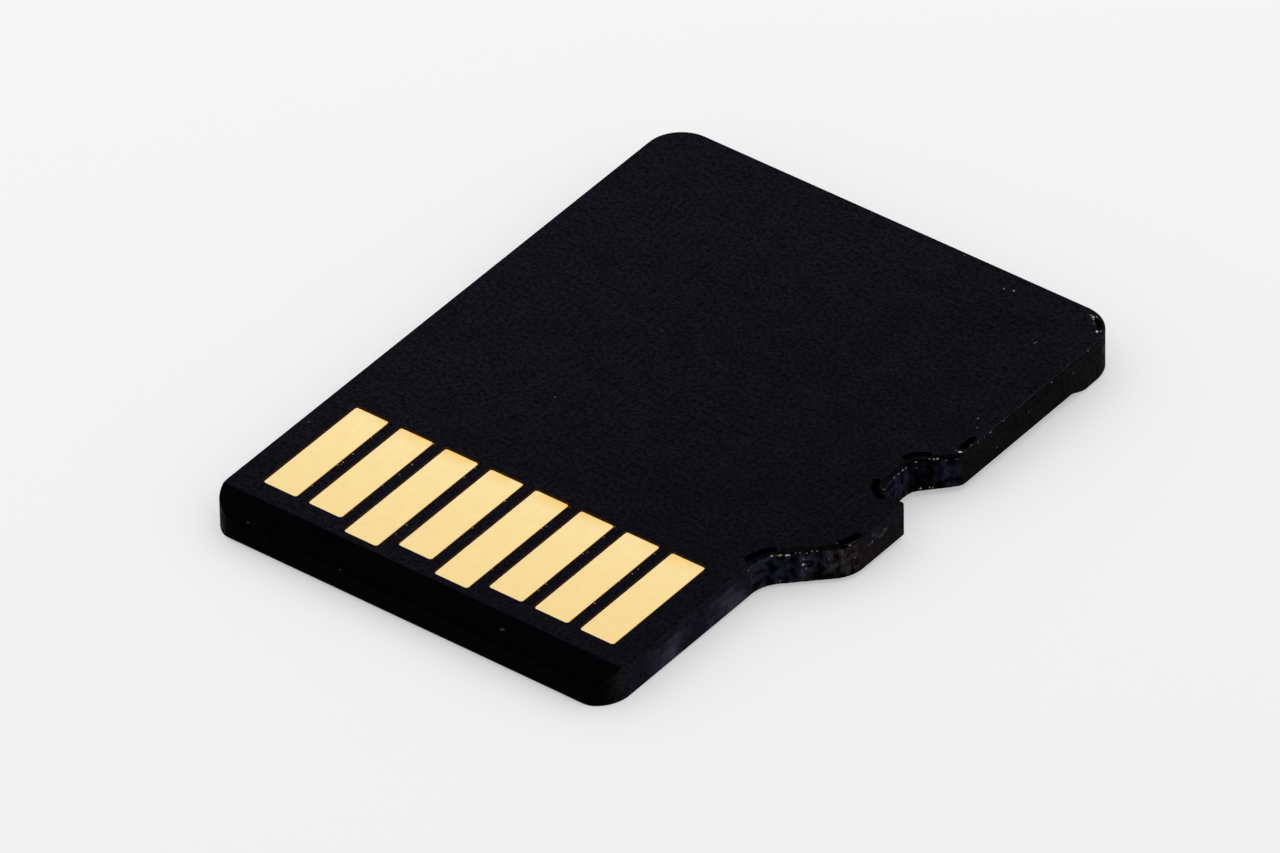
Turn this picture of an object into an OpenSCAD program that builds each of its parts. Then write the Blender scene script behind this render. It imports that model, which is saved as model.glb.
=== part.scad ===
// Micro memory card, contact side up, in millimetres.
// The origin is under the middle of the card, X runs across it, the nose points to -Y,
// the notched side is +X, and the grip ridge on the label side stands on Z = 0.

/* [Card] */
// Length from the nose to the rear edge
card_l = 15.0; // [14.9:0.05:15.1]
// Width across the rear part
card_w = 11.0; // [10.9:0.05:11.1]
// Width of the nose, in front of the shoulder
nose_w = 9.75; // [9.6:0.05:9.8]
// Height over the grip ridge
card_h = 1.0; // [0.95:0.05:1.1]
// Thickness of the body between the two flat faces
body_t = 0.78; // [0.7:0.01:0.8]
// Radius of the four outer corners
corner_r = 0.8; // [0.5:0.1:0.9]

/* [Right side] */
// Distance from the nose to the place where the sloping shoulder reaches the full width
shoulder_from_nose = 6.23; // [6.0:0.01:6.4]
// Slope of the shoulder, in degrees from the X axis
shoulder_slope = 45; // [42:1:48]
// Radius at both ends of the shoulder
shoulder_r = 0.8; // [0.5:0.1:0.9]
// Distance from the nose to the front side of the notch
notch_from_nose = 7.92; // [7.8:0.01:8.0]
// Depth of the notch in the full width
notch_depth = 0.68; // [0.6:0.01:0.75]
// Length of the floor of the notch
notch_floor = 1.1; // [1.0:0.05:1.2]
// Length of the mouth of the notch
notch_mouth = 1.84; // [1.7:0.02:1.9]
// Radius of the two inner corners of the notch
notch_inner_r = 0.38; // [0.2:0.02:0.4]
// Radius of the notch corner towards the nose
notch_front_r = 0.06; // [0.05:0.01:0.2]
// Radius of the notch corner towards the rear
notch_rear_r = 0.3; // [0.2:0.05:0.4]

/* [Nose and grip ridge] */
// Length of the bevel on the contact side of the nose
bevel_l = 0.63; // [0.5:0.01:0.7]
// Drop of the bevel
bevel_drop = 0.22; // [0.15:0.01:0.3]
// Radius at the tip of the nose
tip_r = 0.2; // [0.1:0.02:0.24]
// Radius of the nose edge on the label side
nose_edge_r = 0.15; // [0.05:0.01:0.2]
// Radius of the curved inner border of the grip ridge
ridge_curve_r = 30; // [25:1:40]
// Depth of the flat top of the ridge at the two sides of the card
ridge_side_depth = 1.13; // [1.0:0.01:1.3]
// Length of the slope between the label face and the ridge
ridge_slope_l = 0.5; // [0.3:0.05:0.6]
// Radius of the rear edge of the ridge
ridge_edge_r = 0.16; // [0.05:0.01:0.2]

/* [Contacts] */
// Number of contacts
contact_count = 8; // [8:1:8]
// Distance between neighbouring contacts
contact_pitch = 1.1; // [1.09:0.01:1.11]
// Width of a contact
contact_w = 0.8; // [0.7:0.05:0.85]
// Distance from the nose to the rear ends of the contacts
contact_rear = 4.03; // [3.9:0.01:4.1]
// Distance from the nose to the front ends of the six short contacts
contact_front = 1.12; // [1.0:0.01:1.2]
// Distance from the nose to the front ends of the two long contacts
long_contact_front = 0.83; // [0.75:0.01:0.9]
// Radius of the corners of a contact
contact_r = 0.05; // [0.04:0.01:0.15]
// Thickness of a contact
contact_t = 0.04; // [0.03:0.005:0.06]
// Depth of the contacts below the face of the card
contact_recess = 0.025; // [0.01:0.005:0.05]

/* [Board] */
// Thickness of the board behind the contact face
board_t = 0.2; // [0.18:0.01:0.24]
// Width of the five dark marks along the notch and the shoulder
mark_w = 0.16; // [0.08:0.01:0.18]
// Depth of the dark marks
mark_depth = 0.06; // [0.02:0.01:0.08]
// Distance from the shoulder and the right edge to the middle of a mark
mark_inset = 0.13; // [0.12:0.01:0.2]
// Distance from the notch to the middle of a mark
notch_mark_inset = 0.18; // [0.15:0.01:0.2]

/* [Chips inside] */
// Width of a memory die
die_w = 8.0; // [7.0:0.1:8.2]
// Length of a memory die
die_l = 8.0; // [7.0:0.1:8.2]
// Thickness of a die
die_t = 0.09; // [0.06:0.01:0.09]
// Thickness of the film that holds a die
film_t = 0.02; // [0.01:0.005:0.02]
// Step from one memory die to the next, which leaves its bond pads free
die_step = 0.4; // [0.35:0.05:0.5]
// Width of the controller die
controller_w = 2.2; // [1.8:0.1:2.4]
// Length of the controller die
controller_l = 2.6; // [2.2:0.1:2.8]
// Bond wires along the front edge of each memory die
memory_wires = 10; // [4:1:12]
// Bond wires along each long side of the controller
controller_wires = 6; // [3:1:7]
// Diameter of a bond wire
wire_d = 0.025; // [0.02:0.005:0.03]
// Length, width and height of a capacitor
capacitor_size = [0.6, 0.3, 0.3];

/* [Hidden] */

$fn = 64;
small_r = 0.2;
small_arc_step = 15;
arc_step = 6;
over = 1;

left_x = -card_w / 2;
right_x = card_w / 2;
nose_x = left_x + nose_w;
nose_y = -card_l / 2;
rear_y = card_l / 2;
label_z = card_h - body_t;
board_z = card_h - board_t;
bevel_y = nose_y + bevel_l;

shoulder_y = nose_y + shoulder_from_nose;
shoulder_foot_y = shoulder_y - (right_x - nose_x) * tan(shoulder_slope);
notch_x = right_x - notch_depth;
notch_y = nose_y + notch_from_nose;

// Corners of the card seen from the contact side, each with its radius
outline_corners = [
    [left_x, nose_y, corner_r],
    [nose_x, nose_y, corner_r],
    [nose_x, shoulder_foot_y, shoulder_r],
    [right_x, shoulder_y, shoulder_r],
    [right_x, notch_y, notch_front_r],
    [notch_x, notch_y, notch_inner_r],
    [notch_x, notch_y + notch_floor, notch_inner_r],
    [right_x, notch_y + notch_mouth, notch_rear_r],
    [right_x, rear_y, corner_r],
    [left_x, rear_y, corner_r]
];
shoulder_inner = 2;
shoulder_outer = 3;
notch_inner_front = 5;
notch_inner_rear = 6;

// Corners of the card seen from the side: nose with its bevel, flat faces and ridge
ridge_clear_y = 5;
side_corners = [
    [nose_y, label_z, nose_edge_r],
    [ridge_clear_y, label_z, 0],
    [ridge_clear_y, 0, 0],
    [rear_y, 0, ridge_edge_r],
    [rear_y, card_h, 0],
    [bevel_y, card_h, 0],
    [nose_y, card_h - bevel_drop, tip_r]
];

// The ridge's inner slope is a cone whose axis lies far in front of the card
ridge_top_r = ridge_curve_r + ridge_slope_l;
ridge_axis_y = rear_y - ridge_side_depth - sqrt(pow(ridge_top_r, 2) - pow(right_x, 2));

// First contact from the left edge, with the row centred on the nose
contact_row_x = left_x + (nose_w - contact_pitch * (contact_count - 1)) / 2;
long_contacts = [3, 5];
contact_z = card_h - contact_recess - contact_t;

// Dies stack downwards from the inner face of the board
die_x = -4.5;
die_y = -1.5;
film_1_z = board_z - film_t;
die_1_z = film_1_z - die_t;
film_2_z = die_1_z - film_t;
die_2_z = film_2_z - die_t;
controller_at = [-3.4, -6.0];
capacitor_turns = [0, 0, 90];
capacitor_places = [[0.5, -3.9], [0.5, -5.2], [2.6, -5.0]];

// Bond wires: where they leave a die and where they meet the board
pad_inset = 0.15;
die_1_finger = 0.3;
die_2_finger = 0.6;
wire_margin = 0.5;
controller_finger = 0.35;
die_1_loop = 0.1;
die_2_loop = 0.16;
controller_loop = 0.12;
wire_steps = 8;

function unit(v) = v / norm(v);
function flat(p) = [p[0], p[1]];
function wrapped(a) = a > 180 ? a - 360 : (a < -180 ? a + 360 : a);

// Where the rounding of corner q starts and ends, and the centre of its arc
function towards(q, p) = unit(flat(p) - flat(q));
function half_angle(p, q, s) = acos(towards(q, p) * towards(q, s)) / 2;
function arc_start(p, q, s) = flat(q) + towards(q, p) * q[2] / tan(half_angle(p, q, s));
function arc_end(p, q, s) = arc_start(s, q, p);
function arc_centre(p, q, s) =
    flat(q) + unit(towards(q, p) + towards(q, s)) * q[2] / sin(half_angle(p, q, s));
function bearing(c, p) = atan2(p[1] - c[1], p[0] - c[0]);

// Points of one rounded corner, or the corner itself where its radius is 0
function corner_arc(p, q, s) = q[2] == 0 ? [flat(q)] :
    let (c = arc_centre(p, q, s),
         a = bearing(c, arc_start(p, q, s)),
         sweep = wrapped(bearing(c, arc_end(p, q, s)) - a),
         steps = ceil(abs(sweep) / (q[2] > small_r ? arc_step : small_arc_step)))
    [for (i = [0:steps]) c + q[2] * [cos(a + sweep * i / steps), sin(a + sweep * i / steps)]];

function before(list, i) = list[(i + len(list) - 1) % len(list)];
function after(list, i) = list[(i + 1) % len(list)];
function rounded(list) =
    [for (i = [0:len(list) - 1]) each corner_arc(before(list, i), list[i], after(list, i))];
function corner_centre(i) = arc_centre(before(outline_corners, i), outline_corners[i],
    after(outline_corners, i));

// A bond wire's middle line: straight off the die, over in a low loop, straight on to the board
function loop_point(span, z_die, loop, t) =
    let (u = 1 - t)
    [span * (3 * u * t * t + t * t * t),
     z_die * u * u * u + 3 * (z_die - loop) * (u * u * t + u * t * t) + board_z * t * t * t];
function loop_way(span, z_die, loop, t) =
    let (u = 1 - t)
    unit([span * 6 * u * t,
          3 * (-loop * u * u + (board_z - z_die + loop) * t * t)]);
function loop_side(span, z_die, loop, side) =
    [for (i = [0:wire_steps])
        let (t = i / wire_steps, w = loop_way(span, z_die, loop, t))
        loop_point(span, z_die, loop, t) + side * wire_d / 2 * [-w[1], w[0]]];
function reversed(list) = [for (i = [len(list) - 1:-1:0]) list[i]];
function loop_outline(span, z_die, loop) =
    concat(loop_side(span, z_die, loop, 1), reversed(loop_side(span, z_die, loop, -1)));

function contact_left(i) = contact_row_x + (i - 1) * contact_pitch - contact_w / 2;
function is_long(i) = len([for (k = long_contacts) if (k == i) k]) > 0;
function contact_front_y(i) = nose_y + (is_long(i) ? long_contact_front : contact_front);
function contact_corners(i) =
    let (x = contact_left(i), y = contact_front_y(i), rear = nose_y + contact_rear)
    [[x, y, contact_r], [x + contact_w, y, contact_r],
     [x + contact_w, rear, contact_r], [x, rear, contact_r]];

module card_plan(z, height) {
    translate([0, 0, z])
        linear_extrude(height)
            polygon(rounded(outline_corners));
}

// The side profile, drawn across the whole width of the card
module side_profile() {
    translate([left_x - over, 0, 0])
        rotate([90, 0, 90])
            linear_extrude(card_w + 2 * over)
                polygon(rounded(side_corners));
}

// What is taken off the label side, so that the ridge stays
module label_relief() {
    translate([0, ridge_axis_y, 0])
        cylinder(h = label_z, r1 = ridge_top_r, r2 = ridge_curve_r, $fn = 360);
    translate([0, ridge_axis_y, -over])
        cylinder(h = over, r = ridge_top_r, $fn = 360);
}

// The board ends at the bevel, where the moulding wraps the nose
module board_blank() {
    intersection() {
        card_plan(board_z, board_t);
        translate([left_x - over, bevel_y, board_z])
            cube([card_w + 2 * over, card_l, board_t]);
    }
}

module contact_shape(i, z, height) {
    translate([0, 0, z])
        linear_extrude(height)
            polygon(rounded(contact_corners(i)));
}

module contact(i) {
    color("goldenrod")
        contact_shape(i, contact_z, contact_t);
}

// A dark mark: part of a ring around the centre c, with round ends
module ring_mark(c, r, from, to) {
    z = card_h - mark_depth;
    translate([c[0], c[1], z]) {
        rotate([0, 0, from])
            rotate_extrude(angle = to - from)
                translate([r - mark_w / 2, 0])
                    square([mark_w, mark_depth + over]);
        for (a = [from, to])
            rotate([0, 0, a])
                translate([r, 0, 0])
                    cylinder(h = mark_depth + over, d = mark_w, $fn = 24);
    }
}

module straight_mark(x, from, to) {
    z = card_h - mark_depth;
    translate([x - mark_w / 2, from, z])
        cube([mark_w, to - from, mark_depth + over]);
    for (y = [from, to])
        translate([x, y, z])
            cylinder(h = mark_depth + over, d = mark_w, $fn = 24);
}

// The marks follow the corners of the shoulder and the notch, a little inside the outline
module marks() {
    ring_mark(corner_centre(shoulder_inner), shoulder_r + mark_inset, 140, 175);
    ring_mark(corner_centre(shoulder_outer), shoulder_r - mark_inset, -34, 0);
    ring_mark(corner_centre(notch_inner_front), notch_inner_r + notch_mark_inset, 198, 252);
    ring_mark(corner_centre(notch_inner_rear), notch_inner_r + notch_mark_inset, 114, 160);
    straight_mark(right_x - mark_inset, 2.47, 2.79);
}

module contact_board() {
    color([0.08, 0.08, 0.1])
        difference() {
            board_blank();
            for (i = [1:contact_count])
                contact_shape(i, contact_z, contact_t + contact_recess + over);
            marks();
        }
}

module memory_die_shape(step, z, height) {
    translate([die_x, die_y + step * die_step, z])
        cube([die_w, die_l, height]);
}

module memory_die_1() {
    color("slategray")
        memory_die_shape(0, die_1_z, die_t);
}

module memory_die_2() {
    color("slategray")
        memory_die_shape(1, die_2_z, die_t);
}

module memory_film_1() {
    color("tan")
        memory_die_shape(0, film_1_z, film_t);
}

module memory_film_2() {
    color("tan")
        memory_die_shape(1, film_2_z, film_t);
}

module controller_shape(z, height) {
    translate([controller_at[0], controller_at[1], z])
        cube([controller_w, controller_l, height]);
}

module controller_die() {
    color("lightslategray")
        controller_shape(die_1_z, die_t);
}

module controller_film() {
    color("tan")
        controller_shape(film_1_z, film_t);
}

// A ceramic capacitor with a metal cap on each end, soldered flat on the board
module capacitor(i) {
    cap_l = 0.15;
    waist = 0.02;
    place = capacitor_places[i - 1];
    color("burlywood")
        translate([place[0], place[1], board_z - capacitor_size[2]])
            rotate([0, 0, capacitor_turns[i - 1]])
                translate([-capacitor_size[0] / 2, -capacitor_size[1] / 2, 0]) {
                    for (x = [0, capacitor_size[0] - cap_l])
                        translate([x, 0, 0])
                            cube([cap_l, capacitor_size[1], capacitor_size[2]]);
                    translate([0, waist, waist])
                        cube(capacitor_size - [0, 2 * waist, 2 * waist]);
                }
}

// One bond wire in the plane through its two ends, led along +X from the die to the board
module bond_wire(span, z_die, loop) {
    rotate([90, 0, 0])
        translate([0, 0, -wire_d / 2])
            linear_extrude(wire_d)
                polygon(loop_outline(span, z_die, loop));
}

// A row of wires from the front edge of a memory die, shifted by half a pitch on every second die
module memory_wire_row(step, z_die, finger_y, loop, shift) {
    pitch = (die_w - 2 * wire_margin) / memory_wires;
    pad_y = die_y + step * die_step + pad_inset;
    for (i = [0:memory_wires - 1])
        translate([die_x + wire_margin + (i + shift) * pitch, pad_y, 0])
            rotate([0, 0, -90])
                bond_wire(pad_y - finger_y, z_die, loop);
}

module memory_wires_1() {
    color("gold")
        memory_wire_row(0, die_1_z, die_y - die_1_finger, die_1_loop, 0.25);
}

module memory_wires_2() {
    color("gold")
        memory_wire_row(1, die_2_z, die_y - die_2_finger, die_2_loop, 0.75);
}

module controller_wire_set() {
    pitch = controller_l / controller_wires;
    middle_x = controller_at[0] + controller_w / 2;
    span = pad_inset + controller_finger;
    color("gold")
        for (side = [0, 1], i = [0:controller_wires - 1])
            translate([middle_x, controller_at[1] + (i + 0.5) * pitch, 0])
                mirror([side, 0, 0])
                    translate([controller_w / 2 - pad_inset, 0, 0])
                        bond_wire(span, die_1_z, controller_loop);
}

// Everything that the moulding is cast around
module sealed_in() {
    board_blank();
    memory_die_1();
    memory_die_2();
    memory_film_1();
    memory_film_2();
    controller_die();
    controller_film();
    for (i = [1:3])
        capacitor(i);
    memory_wires_1();
    memory_wires_2();
    controller_wire_set();
}

module mould_body() {
    color([0.05, 0.05, 0.06])
        difference() {
            intersection() {
                card_plan(0, card_h);
                side_profile();
            }
            label_relief();
            sealed_in();
        }
}

mould_body();
contact_board();
contact(1);  // contact_1
contact(2);  // contact_2
contact(3);  // contact_3
contact(4);  // contact_4
contact(5);  // contact_5
contact(6);  // contact_6
contact(7);  // contact_7
contact(8);  // contact_8
memory_die_1();
memory_die_2();
memory_film_1();
memory_film_2();
controller_die();
controller_film();
capacitor(1);  // capacitor_1
capacitor(2);  // capacitor_2
capacitor(3);  // capacitor_3
memory_wires_1();
memory_wires_2();
controller_wire_set();
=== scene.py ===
"""Micro memory card, contact side up, in the frame of its CAD model."""

import math
import random

import bpy
import numpy as np
from mathutils import Matrix, Vector, noise
from mathutils.geometry import delaunay_2d_cdt


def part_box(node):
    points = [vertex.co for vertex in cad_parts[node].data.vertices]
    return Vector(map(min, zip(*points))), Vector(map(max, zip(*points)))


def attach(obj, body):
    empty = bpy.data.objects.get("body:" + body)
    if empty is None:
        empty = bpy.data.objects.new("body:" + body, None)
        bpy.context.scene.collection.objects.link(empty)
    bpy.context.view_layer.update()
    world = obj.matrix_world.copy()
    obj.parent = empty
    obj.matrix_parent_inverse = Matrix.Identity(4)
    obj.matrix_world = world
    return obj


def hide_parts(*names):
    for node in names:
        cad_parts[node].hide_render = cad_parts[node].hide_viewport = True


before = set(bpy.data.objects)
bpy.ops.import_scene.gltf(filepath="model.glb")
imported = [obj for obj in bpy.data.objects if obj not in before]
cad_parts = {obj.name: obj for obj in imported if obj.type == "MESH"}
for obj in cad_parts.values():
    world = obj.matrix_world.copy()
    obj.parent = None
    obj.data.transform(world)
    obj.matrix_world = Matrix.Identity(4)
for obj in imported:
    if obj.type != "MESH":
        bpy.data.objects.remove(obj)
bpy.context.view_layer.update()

# Sizes in millimetres; the meshes are scaled to metres at the end
MM = 0.001


def box_mm(node):
    low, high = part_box(node)
    return [c / MM for c in low], [c / MM for c in high]


# The card's own box, and where the board starts
(LEFT_X, NOSE_Y, _), (RIGHT_X, REAR_Y, CARD_H) = box_mm("mould_body")
(_, BEVEL_Y, BOARD_Z), _ = box_mm("contact_board")
BODY_T = 0.78
LABEL_Z = CARD_H - BODY_T

# Right side, as in the part's source
NOSE_W = 9.75
CORNER_R = 0.8
SHOULDER_FROM_NOSE = 6.23
SHOULDER_R = 0.8
NOTCH_FROM_NOSE = 7.92
NOTCH_DEPTH = 0.68
NOTCH_FLOOR = 1.1
NOTCH_MOUTH = 1.84
NOTCH_INNER_R = 0.38
NOTCH_FRONT_R = 0.06
NOTCH_REAR_R = 0.3

NOSE_X = LEFT_X + NOSE_W
SHOULDER_Y = NOSE_Y + SHOULDER_FROM_NOSE
SHOULDER_FOOT_Y = SHOULDER_Y - (RIGHT_X - NOSE_X)
NOTCH_X = RIGHT_X - NOTCH_DEPTH
NOTCH_Y = NOSE_Y + NOTCH_FROM_NOSE
OUTLINE_CORNERS = [
    (LEFT_X, NOSE_Y, CORNER_R),
    (NOSE_X, NOSE_Y, CORNER_R),
    (NOSE_X, SHOULDER_FOOT_Y, SHOULDER_R),
    (RIGHT_X, SHOULDER_Y, SHOULDER_R),
    (RIGHT_X, NOTCH_Y, NOTCH_FRONT_R),
    (NOTCH_X, NOTCH_Y, NOTCH_INNER_R),
    (NOTCH_X, NOTCH_Y + NOTCH_FLOOR, NOTCH_INNER_R),
    (RIGHT_X, NOTCH_Y + NOTCH_MOUTH, NOTCH_REAR_R),
    (RIGHT_X, REAR_Y, CORNER_R),
    (LEFT_X, REAR_Y, CORNER_R),
]

# Nose profile and grip ridge, as in the part's source
BEVEL_L = BEVEL_Y - NOSE_Y
BEVEL_DROP = 0.22
TIP_R = 0.2
NOSE_EDGE_R = 0.15
RIDGE_CURVE_R = 30
RIDGE_SLOPE_L = 0.5
RIDGE_SIDE_DEPTH = 1.13
RIDGE_EDGE_R = 0.16
RIDGE_TOP_R = RIDGE_CURVE_R + RIDGE_SLOPE_L
RIDGE_AXIS_Y = REAR_Y - RIDGE_SIDE_DEPTH - math.sqrt(RIDGE_TOP_R ** 2 - RIGHT_X ** 2)

# Contacts, counted from the left
CONTACT_R = 0.05
CONTACTS = range(1, 9)

# Fine forms that only the visual model has
EDGE_R = 0.032
LOW_EDGE_R = 0.018
WINDOW_GAP = 0.008
PAD_SWELL = 0.008
MARK_W = 0.16
MARK_INSET = 0.13
NOTCH_MARK_INSET = 0.18
MARK_DEPTH = 0.05
RELIEF_H = 0.006

# Shades of a point on the moulding and the board, each from 0 to 1: how pale it is, which on
# the walls and edges is mostly painted light and shade, how torn by the punch, and how broken
# its edge or, on a wall, the hue of the tear
PLAIN = (0, 0, 0)
LABEL_SHADE = (0.3, 0, 0)


# Small plane geometry

def unit(x, y):
    length = math.hypot(x, y)
    return x / length, y / length


def on_circle(centre, r, turns):
    return [(centre[0] + r * math.cos(a), centre[1] + r * math.sin(a)) for a in turns]


def corner_arc(before, corner, after, step):
    """Centre and points of a rounded corner, at most step apart."""
    x, y, r = corner
    ux, uy = unit(before[0] - x, before[1] - y)
    vx, vy = unit(after[0] - x, after[1] - y)
    half = math.acos(ux * vx + uy * vy) / 2
    reach = r / math.tan(half)
    bx, by = unit(ux + vx, uy + vy)
    cx, cy = x + bx * r / math.sin(half), y + by * r / math.sin(half)
    start = math.atan2(y + uy * reach - cy, x + ux * reach - cx)
    end = math.atan2(y + vy * reach - cy, x + vx * reach - cx)
    sweep = (end - start + math.pi) % (2 * math.pi) - math.pi
    count = max(3, math.ceil(abs(sweep) * r / step))
    turns = [start + sweep * i / count for i in range(count + 1)]
    return (cx, cy), on_circle((cx, cy), r, turns)


def straight(a, b, step):
    """Points between a and b, without the ends."""
    count = max(1, math.ceil(math.dist(a, b) / step))
    return [(a[0] + (b[0] - a[0]) * i / count, a[1] + (b[1] - a[1]) * i / count)
            for i in range(1, count)]


def square(x0, y0, x1, y1):
    return [(x0, y0), (x1, y0), (x1, y1), (x0, y1)]


def rounded(corners, arc_step, side_step):
    """A closed loop with rounded corners; the steps are functions of x and y."""
    arcs = []
    for i, corner in enumerate(corners):
        after = corners[(i + 1) % len(corners)]
        arcs.append(corner_arc(corners[i - 1], corner, after, arc_step(*corner[:2]))[1])
    points = []
    for i, arc in enumerate(arcs):
        following = arcs[(i + 1) % len(arcs)][0]
        middle = ((arc[-1][0] + following[0]) / 2, (arc[-1][1] + following[1]) / 2)
        points += arc + straight(arc[-1], following, side_step(*middle))
    return points


def corner_centre(i):
    """Centre of any corner of the outline but the first and the last."""
    before, corner, after = OUTLINE_CORNERS[i - 1:i + 2]
    return corner_arc(before, corner, after, 1)[0]


def loop_normals(points):
    """Outward mitre directions of a counterclockwise loop."""
    p = np.array(points)
    edge = np.roll(p, -1, 0) - p
    edge /= np.linalg.norm(edge, axis=1)[:, None]
    n1 = np.stack([edge[:, 1], -edge[:, 0]], 1)
    n0 = np.roll(n1, 1, 0)
    return (n0 + n1) / (1 + (n0 * n1).sum(1))[:, None]


def inset(points, depth):
    """The loop moved inwards; depth is one number or one for each point."""
    depth = np.broadcast_to(np.asarray(depth, float), (len(points),))
    return np.array(points) - loop_normals(points) * depth[:, None]


def inside(points, loops):
    """Which points lie inside an odd number of the loops."""
    points = np.array(points)
    odd = np.zeros(len(points), bool)
    for loop in loops:
        a = np.array(loop)
        b = np.roll(a, -1, 0)
        for (x0, y0), (x1, y1) in zip(a, b):
            if y0 == y1:
                continue
            spans = (y0 > points[:, 1]) != (y1 > points[:, 1])
            cut = x0 + (points[:, 1] - y0) * (x1 - x0) / (y1 - y0)
            odd ^= spans & (points[:, 0] < cut)
    return odd


# Building closed meshes

def add_object(name, data):
    made = bpy.data.objects.new(name, data)
    bpy.context.scene.collection.objects.link(made)
    return made


class Shell:
    """Points and faces of one closed mesh; a look is a material's number."""

    def __init__(self):
        self.points, self.shades = [], []
        self.faces, self.looks, self.flat = [], [], []

    def add_points(self, points, shade=PLAIN):
        first = len(self.points)
        self.points += [tuple(map(float, p)) for p in points]
        self.shades += [tuple(s) for s in np.broadcast_to(shade, (len(points), 3))]
        return list(range(first, len(self.points)))

    def ring(self, plan, heights, shade=PLAIN):
        heights = np.broadcast_to(np.asarray(heights, float), (len(plan),))
        return self.add_points(np.column_stack([plan, heights]), shade)

    def face(self, corners, look=0, flat=False):
        self.faces.append(tuple(corners))
        self.looks.append(look)
        self.flat.append(flat)

    def bridge(self, a, b, look=0, closed=True):
        count = len(a)
        for i in range(count if closed else count - 1):
            j = (i + 1) % count
            self.face((a[i], a[j], b[j], b[i]), look)

    def bridges(self, rings, look=0, closed=True):
        for a, b in zip(rings, rings[1:]):
            self.bridge(a, b, look, closed)

    def fill(self, loops, look=0, up=True, free=(), flat=True):
        """Triangles between the loops; loops and free points are point numbers."""
        numbers = [n for loop in loops for n in loop] + list(free)
        plan = [Vector(self.points[n][:2]) for n in numbers]
        edges, first = [], 0
        for loop in loops:
            count = len(loop)
            edges += [(first + i, first + (i + 1) % count) for i in range(count)]
            first += count
        _, _, triangles, origin, _, _ = delaunay_2d_cdt(plan, edges, [], 0, 1e-9)
        named = [[numbers[origin[c][0]] for c in t] for t in triangles]
        middles = [np.mean([self.points[n][:2] for n in t], 0) for t in named]
        keep = inside(middles, [[self.points[n][:2] for n in loop] for loop in loops])
        for corners, kept in zip(named, keep):
            if kept:
                self.face(corners if up else corners[::-1], look, flat)

    def object(self, name, materials):
        mesh = bpy.data.meshes.new(name)
        mesh.from_pydata([Vector(p) * MM for p in self.points], [], self.faces)
        mesh.validate()
        shades = np.column_stack([self.shades, np.ones(len(self.shades))])
        layer = mesh.attributes.new("shade", "FLOAT_COLOR", "POINT")
        layer.data.foreach_set("color", shades.ravel())
        for material in materials:
            mesh.materials.append(material)
        mesh.polygons.foreach_set("material_index", self.looks)
        mesh.polygons.foreach_set("use_smooth", [not f for f in self.flat])
        piece = add_object(name, mesh)
        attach(piece, "root")
        return piece


# The outline, with a finer spacing along the shoulder and the notch

SPACING = 0.045
FINE_SPACING = 0.02
FINE_X = NOSE_X - 0.5
FINE_Y = (-3.2, 2.6)


def spacing(x, y):
    return FINE_SPACING if x > FINE_X and FINE_Y[0] < y < FINE_Y[1] else SPACING


def split_outline():
    """The loop from the bevel line's left end round the nose and on, and its nose count."""
    loop = rounded(OUTLINE_CORNERS, spacing, spacing)
    rise = BEVEL_Y - NOSE_Y - CORNER_R
    reach = math.sqrt(CORNER_R ** 2 - rise ** 2) - CORNER_R
    left_end, right_end = (LEFT_X - reach, BEVEL_Y), (NOSE_X + reach, BEVEL_Y)
    gap = 0.01
    parts = []
    for side in (-1, 1):
        part = [p for p in loop if side * (p[1] - BEVEL_Y) > gap]
        start = min(range(len(part)), key=lambda i: (part[i][0] * side < 0, part[i][1] * side))
        parts.append(part[start:] + part[:start])
    nose, rest = parts
    return [left_end] + nose + [right_end] + rest, len(nose) + 2


OUTLINE, NOSE_COUNT = split_outline()
NORMALS = loop_normals(OUTLINE)
ALONG = np.cumsum([0] + [math.dist(a, b) for a, b in zip(OUTLINE, OUTLINE[1:])])


def smooth(low, high, value):
    """0 at low, 1 at high, smooth between; low may be the higher number."""
    t = min(1.0, max(0.0, (value - low) / (high - low)))
    return t * t * (3 - 2 * t)


# Torn walls: least x, middle y, how far from it they are fully torn, and how far they reach
SHOULDER_TEAR = (NOSE_X - 0.2, -1.95, 0.75, 1.05)
NOTCH_TEAR = (NOTCH_X - 0.2, 1.3, 0.85, 1.1)


def cut_share(x, y):
    """How strongly the punch has torn the wall there, from 0 to 1."""
    return max(1 - smooth(full, reach, abs(y - middle)) if x > start_x else 0
               for start_x, middle, full, reach in (SHOULDER_TEAR, NOTCH_TEAR))


GRAIN_DEPTH = 0.003
RIB_DEPTH = 0.012
FOOT_RIBS = 1.3


def wall_wear(z):
    """How far each point of the wall lies inside the outline at height z."""
    wear = []
    for (x, y), s in zip(OUTLINE, ALONG):
        grain = 0.5 + 0.5 * noise.noise(Vector((s * 9, z * 14, 3.1)))
        rib = abs(noise.noise(Vector((s * 11, z * 0.8, 8.7))))
        fine = abs(noise.noise(Vector((s * 26, z * 2.0, 1.9))))
        share = cut_share(x, y) * smooth(0.05, 0.25, math.dist((x, y), (RIGHT_X, NOTCH_Y)))
        foot = 1 + FOOT_RIBS * smooth(0.45, 0.25, z)
        wear.append(GRAIN_DEPTH * grain + share * foot * (RIB_DEPTH * rib + RIB_DEPTH * fine))
    return np.array(wear)
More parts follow.
